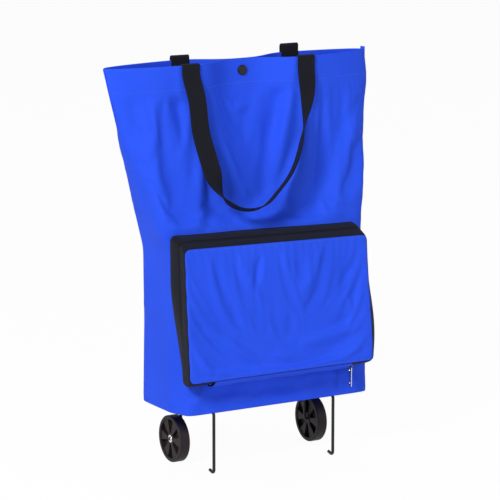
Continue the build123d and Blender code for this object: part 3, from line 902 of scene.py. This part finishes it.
def hang(places):
    """Places in the bag from x, depth and z in millimetres, skewed and leaned as the pocket hangs."""
    x, depth, z = np.moveaxis(np.asarray(places, float), -1, 0)
    share = (z - pocket_z[0]) / (pocket_z[1] - pocket_z[0])
    skewed_x = x - pocket_slew * share
    up = z - pocket_fall * share * (x - pocket_x) / pocket_width - pocket_z[0]
    slack = smooth_step(depth, coil_middle, face_depth) * (1 - smooth_step(share, 0.0, 0.8))
    pushed = np.exp(-(((depth - coil_middle - 3) / 7) ** 2)) * np.exp(-(((share - 0.25) / 0.42) ** 2))
    skewed_x = skewed_x + 1.5 * slack * smooth_step(x, 0, pocket_right)
    skewed_x = skewed_x + zip_bulge * pushed * smooth_step(x, pocket_right - 20, pocket_right)
    y = up * math.sin(pocket_lean) - depth - 3.0 * slack
    height = up * math.cos(pocket_lean) + pocket_z[0]
    return np.stack([bag_x + skewed_x * MM, bag_y + y * MM, height * MM], axis=-1)


def pocket_ring(depth, inset):
    """Points round the pocket at a depth, from the middle of its bottom to the right, up and round."""
    share = (depth - sewn_depth) / (face_depth - sewn_depth)
    low = pocket_z[0] + droops[0] * share + inset
    low += face_lift * max(0, depth - coil_depths[1]) / (face_depth - coil_depths[1])
    high = pocket_z[1] - droops[1] * share - inset
    left, right, radius = pocket_left + inset, pocket_right - inset, pocket_corner - inset
    corners = [
        (right - radius, low + radius, -90),
        (right - radius, high - radius, 0),
        (left + radius, high - radius, 90),
        (left + radius, low + radius, 180),
    ]
    start = np.array([pocket_x, low])
    ring, previous = [], start
    for (x, z, turn), pieces in zip(corners, (44, 60, 88, 60)):
        angles = np.radians(turn + np.arange(0, 91, 15))
        arc = np.stack([x + radius * np.cos(angles), z + radius * np.sin(angles)], axis=1)
        ring += list(previous + (arc[0] - previous) * np.linspace(0, 1, pieces, endpoint=False)[:, None])
        ring += list(arc[:-1])
        previous = arc[-1]
    ring += list(previous + (start - previous) * np.linspace(0, 1, 45)[:, None])
    ring = np.array(ring)
    return np.stack([ring[:, 0], np.full(len(ring), depth), ring[:, 1]], axis=1)


face_ring = pocket_ring(face_depth, 0)
zip_first = int(np.argmax(face_ring[:, 0] > pocket_right - right_return))
zip_last = int(len(face_ring) - np.argmax(face_ring[::-1, 0] < pocket_left + left_return))


def zip_line(depth, inset):
    """The stretch of a ring round the pocket that the zip takes up."""
    return hang(pocket_ring(depth, inset))[zip_first:zip_last]


def sewn_line():
    """Where the pocket is sewn to the bag: on its front, and round its corner on the left."""
    ring = hang(pocket_ring(sewn_depth + 2, tape / 2))
    left = smooth_step(-(ring[:, 0] - bag_x), 90 * MM, 135 * MM)
    low = 1 - smooth_step(ring[:, 2], 124 * MM, 262 * MM)
    ring[:, 0] += (15 * low - 4.5) * MM * left
    for place in ring:
        front = cloth_y(place[0], place[2], -1)
        place[1] = min(front, bag_y - 45 * MM) - 0.3 * MM
    return ring


def wall(first, last, bulge):
    """Rows of wall from one ring to the next, bowed outwards by bulge in the middle."""
    share = np.linspace(0, 1, 7)[:, None, None]
    rows = first + (last - first) * share
    outward = unit((rows - rows.mean(axis=1, keepdims=True)) * np.array([1, 0, 1]))
    ripple = 1 + 0.35 * np.sin(np.arange(rows.shape[1]) * 0.19)[None, :, None]
    return rows + outward * bulge * np.sin(math.pi * share) * ripple


tape_cloth = webbing_material("zip_tape_cloth", (0.006, 0.007, 0.012), 2400)
sewn_ring = sewn_line()
rear_edge, front_edge, face_edge = (
    hang(pocket_ring(depth, tape / 2)) for depth in (*coil_depths, face_depth - 1)
)


def tape_piece(name, rows, node):
    piece = grid_piece(name, rows[:, zip_first:zip_last])
    thicken(piece, tape * MM, 0)
    dress(piece, tape_cloth, "zip_tape", node)


tape_piece("rear_tape", wall(sewn_ring, rear_edge, 0.9 * MM), "zip_tape_rear")
tape_piece("front_tape", wall(front_edge, face_edge, 0.5 * MM), "zip_tape_front")


def hard_material(name, colour, roughness, grain, worn, wear_colour, wear_roughness, metal=0.0):
    """Plastic, enamel or metal: a fine grain, slow patches, and wear on edges and in rubbed spots."""
    material, tree, surface = blank_material(name, {
        "Metallic": metal, "Specular IOR Level": 0.5 if metal else 0.24,
    })
    place = add_node(tree, "TexCoord", {}).outputs["Object"]
    fine = add_node(tree, "TexNoise", {"Vector": place, "Scale": grain, "Detail": 5}).outputs["Fac"]
    tone = place_group(tree, patches, {
        "Size": 40.0, "First": toned(colour), "Second": toned(colour, 1.35),
    })
    edges = add_node(tree, "NewGeometry", {}).outputs["Pointiness"]
    rubbed = add_node(tree, "MapRange", {"Value": edges, "From Min": 0.52, "From Max": 0.62})
    spots = times(tree, rubbed.outputs["Result"], fine)
    wear = times(tree, spots, worn)
    connect(tree, mix_colours(tree, wear, tone["Colour"], toned(wear_colour)), surface["Base Color"])
    rough = math_node(tree, "MULTIPLY_ADD", fine, 0.16, roughness - 0.08)
    rough_worn = math_node(tree, "MULTIPLY_ADD", wear, wear_roughness - roughness, rough)
    connect(tree, rough_worn, surface["Roughness"])
    raise_relief(tree, surface, fine, 0.25, 0.12 * MM)
    return material


# The coil: two rows of nylon loops that grip each other, each sewn to its own tape.
coil_nylon = hard_material("coil_nylon", (0.006, 0.006, 0.009), 0.5, 900, 0.3, (0.012, 0.012, 0.014), 0.4)
coil_pitch = 1.3 * MM
tooth_radius = 0.36 * MM
tooth_reach, tooth_grip = 1.75, 0.35
TOOTH = [(0.0, 0.2), (0.3, 0.5), (0.7, 0.5), (1.0, 0.2)]  # share of its length, and its rise
coil_line = zip_line(coil_middle, tape / 2)
coil_out = unit(zip_line(coil_middle, tape / 2 - 1.0) - coil_line)
coil_forward = unit(zip_line(coil_middle + 1, 0) - zip_line(coil_middle, 0))
coil_length = length_along(coil_line)
coil_start, coil_end = 6 * MM, coil_length[-1] - 4 * MM
vertices, faces = [], []
for number in range(int((coil_end - coil_start) / coil_pitch)):
    for row, (near, far) in enumerate(((-tooth_reach, tooth_grip), (-tooth_grip, tooth_reach))):
        place = coil_start + (number + 0.5 * row) * coil_pitch
        lines = (coil_line, coil_out, coil_forward)
        middle, out, ahead = (at_length(place, coil_length, line) for line in lines)
        along = np.cross(out, ahead)
        stations = [
            (middle + ahead * (near + (far - near) * share) * MM + out * rise * MM, along, out)
            for share, rise in TOOTH
        ]
        add_bead(vertices, faces, stations, tooth_radius)
dress(make_piece("coil_teeth", vertices, faces), coil_nylon, "zip_coil")
coil_core = ribbon("coil_core", [(coil_line, coil_forward)], core_width, core_thickness)
dress(coil_core, coil_nylon, "zip_coil", "zip_coil")

# The face: a panel of the bag's cloth with its edge turned in and topstitched to the tape.
FACE_FOLDS = [
    (-106, 292, -62, 192, 10, -5.0),
    (-74, 300, -34, 226, 8, 4.2),
    (-30, 300, -44, 238, 6, -4.2),
    (-8, 292, 18, 250, 7, 3.0),
    (60, 296, 22, 215, 11, 4.4),
    (112, 264, 42, 198, 9, -4.6),
    (-122, 205, -42, 152, 9, 4.8),
    (-60, 178, 30, 205, 10, -4.2),
    (-20, 160, 20, 142, 7, 3.0),
    (30, 168, 108, 178, 8, 4.4),
    (-128, 172, -112, 142, 6, 3.0),
    (90, 232, 118, 160, 8, 3.2),
    (-10, 250, 60, 240, 12, 3.0),
]
face_low = pocket_z[0] + droops[0] + face_lift
face_high = pocket_z[1] - droops[1]
close = np.array([0, 0.5, 1.2, 2.2, 3.6, 5.4, 7.5])
beside = np.array([0, 0.6, 1.6, 3.0])
inner_heights = np.linspace(face_low + 10, face_high - 10, 54)
face_rows = []
for z in (*(face_low + close), *inner_heights, *(face_high - close[::-1])):
    into_corner = max(0, pocket_corner - min(z - face_low, face_high - z))
    cut = pocket_corner - math.sqrt(max(0, pocket_corner**2 - into_corner**2))
    left, right = pocket_left + cut, pocket_right - cut
    x = np.concatenate([left + beside, np.linspace(left + 5, right - 5, 88), right - beside[::-1]])
    face_rows.append(np.stack([x, np.full_like(x, face_depth - 0.4), np.full_like(x, z)], axis=1))
face_grid = np.array(face_rows)
from_left, from_right = face_grid[..., 0] - pocket_left, pocket_right - face_grid[..., 0]
from_low, from_high = face_grid[..., 2] - face_low, face_high - face_grid[..., 2]
from_edge = np.minimum.reduce([from_left, from_right, from_low, from_high])
across, upward = from_left / pocket_width, from_low / (face_high - face_low)
swell = (1 - (2 * across - 1) ** 4) * (1 - (2 * upward - 1) ** 4)
face_world = hang(face_grid)
creases = fold_depth(face_world, FACE_FOLDS) / MM
creases += 0.9 * rumple(face_world, 0.06, 11) + 0.3 * rumple(face_world, 0.024, 5)
puckers = 0.22 * np.sin(face_grid[..., 0] * 0.55 + face_grid[..., 2] * 0.21)
puckers *= 1 - smooth_step(from_edge, 3.0, 16.0)
face_grid[..., 1] += 1.5 * swell + creases * smooth_step(from_edge, 5.0, 26.0) + puckers
face_grid[..., 1] -= 0.9 * (1 - smooth_step(from_edge, 0.0, 1.4))
face_world = hang(face_grid)
face_hold = np.maximum(1 - smooth_step(from_edge, 3.0, 9.0), 0.05)
face_world = settle_cloth("face_settling", face_world, False, face_hold, 0.005, 22, 6 * MM)
panel("pocket_face_cloth", face_world, pocket_cloth, -1, "pocket_face",
      flat=(0.276, 0.185), area=0.0478, rests_on=["front_tape"])

# The stretch of bottom between the two ends of the zip: it bows below the face's seam.
gusset_order = [*range(zip_last - 1, len(face_ring) - 1), *range(zip_first + 1)]
gusset_front = hang(pocket_ring(face_depth - 1.2, 0.2))[gusset_order]
share = np.linspace(0, 1, 15)[:, None]
gusset_rows = gusset_front + (sewn_ring[gusset_order] - gusset_front) * share[..., None]
gusset_bow = np.sin(math.pi * share) ** 0.8 * (4.6 + 0.5 * np.sin(np.arange(len(gusset_order)) * 0.33)) * MM
gusset_rows[..., 2] -= gusset_bow
gusset_rows[..., 1] -= 0.35 * gusset_bow * (1 - share)
panel("pocket_gusset", gusset_rows[:, ::-1], pocket_cloth, 0, "pocket_bottom",
      flat=(0.207, 0.034), rests_on=["front_cloth"])


def inset_line(inset):
    """A line on the face at a distance inside its edge, with the face's outward direction."""
    points = hang(pocket_ring(face_depth, inset))
    face_points = face_world.reshape(-1, 3)
    for place in points:
        nearest = np.argmin(((face_points - place)[:, [0, 2]] ** 2).sum(axis=1))
        place[1] = face_points[nearest, 1]
    points[:, 1] = sum(np.roll(points[:, 1], step) for step in range(-2, 3)) / 5
    return points, np.tile([0, -math.cos(pocket_lean), -math.sin(pocket_lean)], (len(points), 1))


stitches("face_stitches", [inset_line(face_seam)], blue_thread, "blue_cloth")

# ---- Zip slider, pull and stops ----
# The slider is die-cast and enamelled black.  The pull and the two stops are bright plated metal.


def set_finish(material, *nodes_named):
    """Gives CAD nodes a finish."""
    for name in nodes_named:
        for place in frame["nodes"][name].material_slots:
            place.material = material


enamel = hard_material("black_enamel", (0.012, 0.012, 0.014), 0.3, 600, 0.8, (0.25, 0.24, 0.22), 0.4)
plated = hard_material("plated_metal", (0.62, 0.62, 0.64), 0.22, 500, 0.3, (0.5, 0.48, 0.44), 0.4, 1.0)
set_finish(enamel, "zip_slider")
set_finish(plated, "zip_pull", "zip_stops")

# ---- Snap fastener ----
# A black enamelled cap at the front and a flat post at the back hold the mouth together; the socket and stud
# between the two cloths are nickel-plated.

cap_enamel = hard_material("snap_enamel", (0.007, 0.007, 0.010), 0.4, 700, 0.4, (0.04, 0.04, 0.045), 0.5)
nickel = hard_material("nickel", (0.48, 0.47, 0.45), 0.3, 500, 0.4, (0.4, 0.38, 0.35), 0.45, 1.0)
set_finish(cap_enamel, "snap_cap", "snap_post")
set_finish(nickel, "snap_socket", "snap_stud")

# ---- Base board and sleeves ----
# The board is 3 mm black fibreboard, loose in the bottom.  Two sleeves of the bag's cloth, sewn under the
# base, hold the wires, which turn in them.

board = hard_material("fibreboard", (0.035, 0.034, 0.036), 0.75, 260, 0.5, (0.12, 0.11, 0.10), 0.85)
sleeve_cloth = woven_material("sleeve_cloth", 0.66, 0.1, "Object")
set_finish(board, "base_board")
set_finish(sleeve_cloth, "leg_channel", "wheel_channel")

# ---- Wires ----
# The stand and the axle are each one length of 4 mm spring wire, bent cold and powder coated black.

powder_coat = hard_material("powder_coat", (0.012, 0.012, 0.015), 0.42, 1400, 0.9, (0.09, 0.09, 0.095), 0.3)
set_finish(powder_coat, "leg_frame", "wheel_frame")

# ---- Wheels ----
# Injection-moulded polypropylene with six spoked recesses, a plastic washer inside and a push nut outside.

moulded = hard_material("moulded_black", (0.013, 0.0085, 0.0105), 0.56, 420, 0.7, (0.055, 0.048, 0.045), 0.7)
nylon = hard_material("washer_plastic", (0.022, 0.022, 0.024), 0.5, 500, 0.3, (0.05, 0.05, 0.05), 0.6)
spring_steel = hard_material("spring_steel", (0.66, 0.66, 0.68), 0.24, 380, 0.4, (0.5, 0.48, 0.45), 0.4, 1.0)
set_finish(moulded, "left_wheel", "right_wheel")
set_finish(nylon, "axle_washers")
set_finish(spring_steel, "push_nuts")

# ---- Studio ----
# A white sweep, soft boxes at the left, at the right and above, and a long lens a metre from the floor.


def sweep():
    reach, height, radius = 9.0, 5.0, 1.2
    profile = [(-reach, 0)]
    for turn in np.radians(range(0, 91, 6)):
        profile.append((reach - radius + radius * math.sin(turn), radius * (1 - math.cos(turn))))
    profile.append((reach, height))
    vertices = [(x, y, z) for x in (-reach, reach) for y, z in profile]
    count = len(profile)
    faces = [(i, i + count, i + count + 1, i + 1) for i in range(count - 1)]
    return make_piece("studio_sweep", vertices, faces)


backdrop = sweep()
paper, tree, surface = blank_material("white_paper", {"Base Color": (0.86, 0.86, 0.86, 1), "Roughness": 0.95})
seen = add_node(tree, "LightPath", {}).outputs
mirrored = math_node(tree, "MAXIMUM", seen["Is Glossy Ray"], seen["Is Transmission Ray"])
direct = math_node(tree, "MAXIMUM", seen["Is Camera Ray"], mirrored)
white = add_node(tree, "Emission", {"Color": (1, 1, 1, 1), "Strength": 1.0})
blend = add_node(tree, "MixShader", {
    0: times(tree, direct, 0.96),
    1: tree.nodes["Principled BSDF"].outputs[0],
    2: white.outputs[0],
})
connect(tree, blend.outputs[0], tree.nodes["Material Output"].inputs["Surface"])
backdrop.data.materials.append(paper)

room = bpy.data.worlds.new("room")
bpy.context.scene.world = room
room.use_nodes = True
sky = room.node_tree.nodes["Background"].inputs
sky["Color"].default_value = (1, 1, 1, 1)
sky["Strength"].default_value = 0.24


def stand(name, kind, place, target):
    """Stands a lamp or the camera at a place and turns it to its target."""
    holder = bpy.data.objects.new(name, kind)
    bpy.context.scene.collection.objects.link(holder)
    holder.location = place
    holder.rotation_mode = "QUATERNION"
    holder.rotation_quaternion = (target - Vector(place)).to_track_quat("-Z", "Y")
    return holder


for name, place, size, power in (
    ("key", (-2.2, -1.45, 2.0), (0.6, 0.6), 88),
    ("fill", (1.6, -2.2, 1.0), (0.8, 1.0), 18),
    ("top", (0.4, 1.0, 2.6), (1.6, 1.2), 14),
):
    lamp = bpy.data.lights.new(name, "AREA")
    lamp.energy = power
    lamp.shape = "RECTANGLE"
    lamp.size, lamp.size_y = size
    stand(name, lamp, place, Vector((bag_x, bag_y, 0.3)))

camera_turn, camera_rise = math.radians(-29.74), math.radians(11.58)
camera_distance = 3.76495
looked_at = Vector((bag_x - 9.86 * MM, bag_y - 7 * MM, 278.46 * MM))
backwards = Vector((
    math.sin(camera_turn) * math.cos(camera_rise),
    -math.cos(camera_turn) * math.cos(camera_rise),
    math.sin(camera_rise),
))
lens = bpy.data.cameras.new("camera")
lens.lens = 209.15
lens.sensor_width = 36
bpy.context.scene.camera = stand("camera", lens, looked_at + backwards * camera_distance, looked_at)
bpy.context.scene.view_settings.view_transform = "Standard"
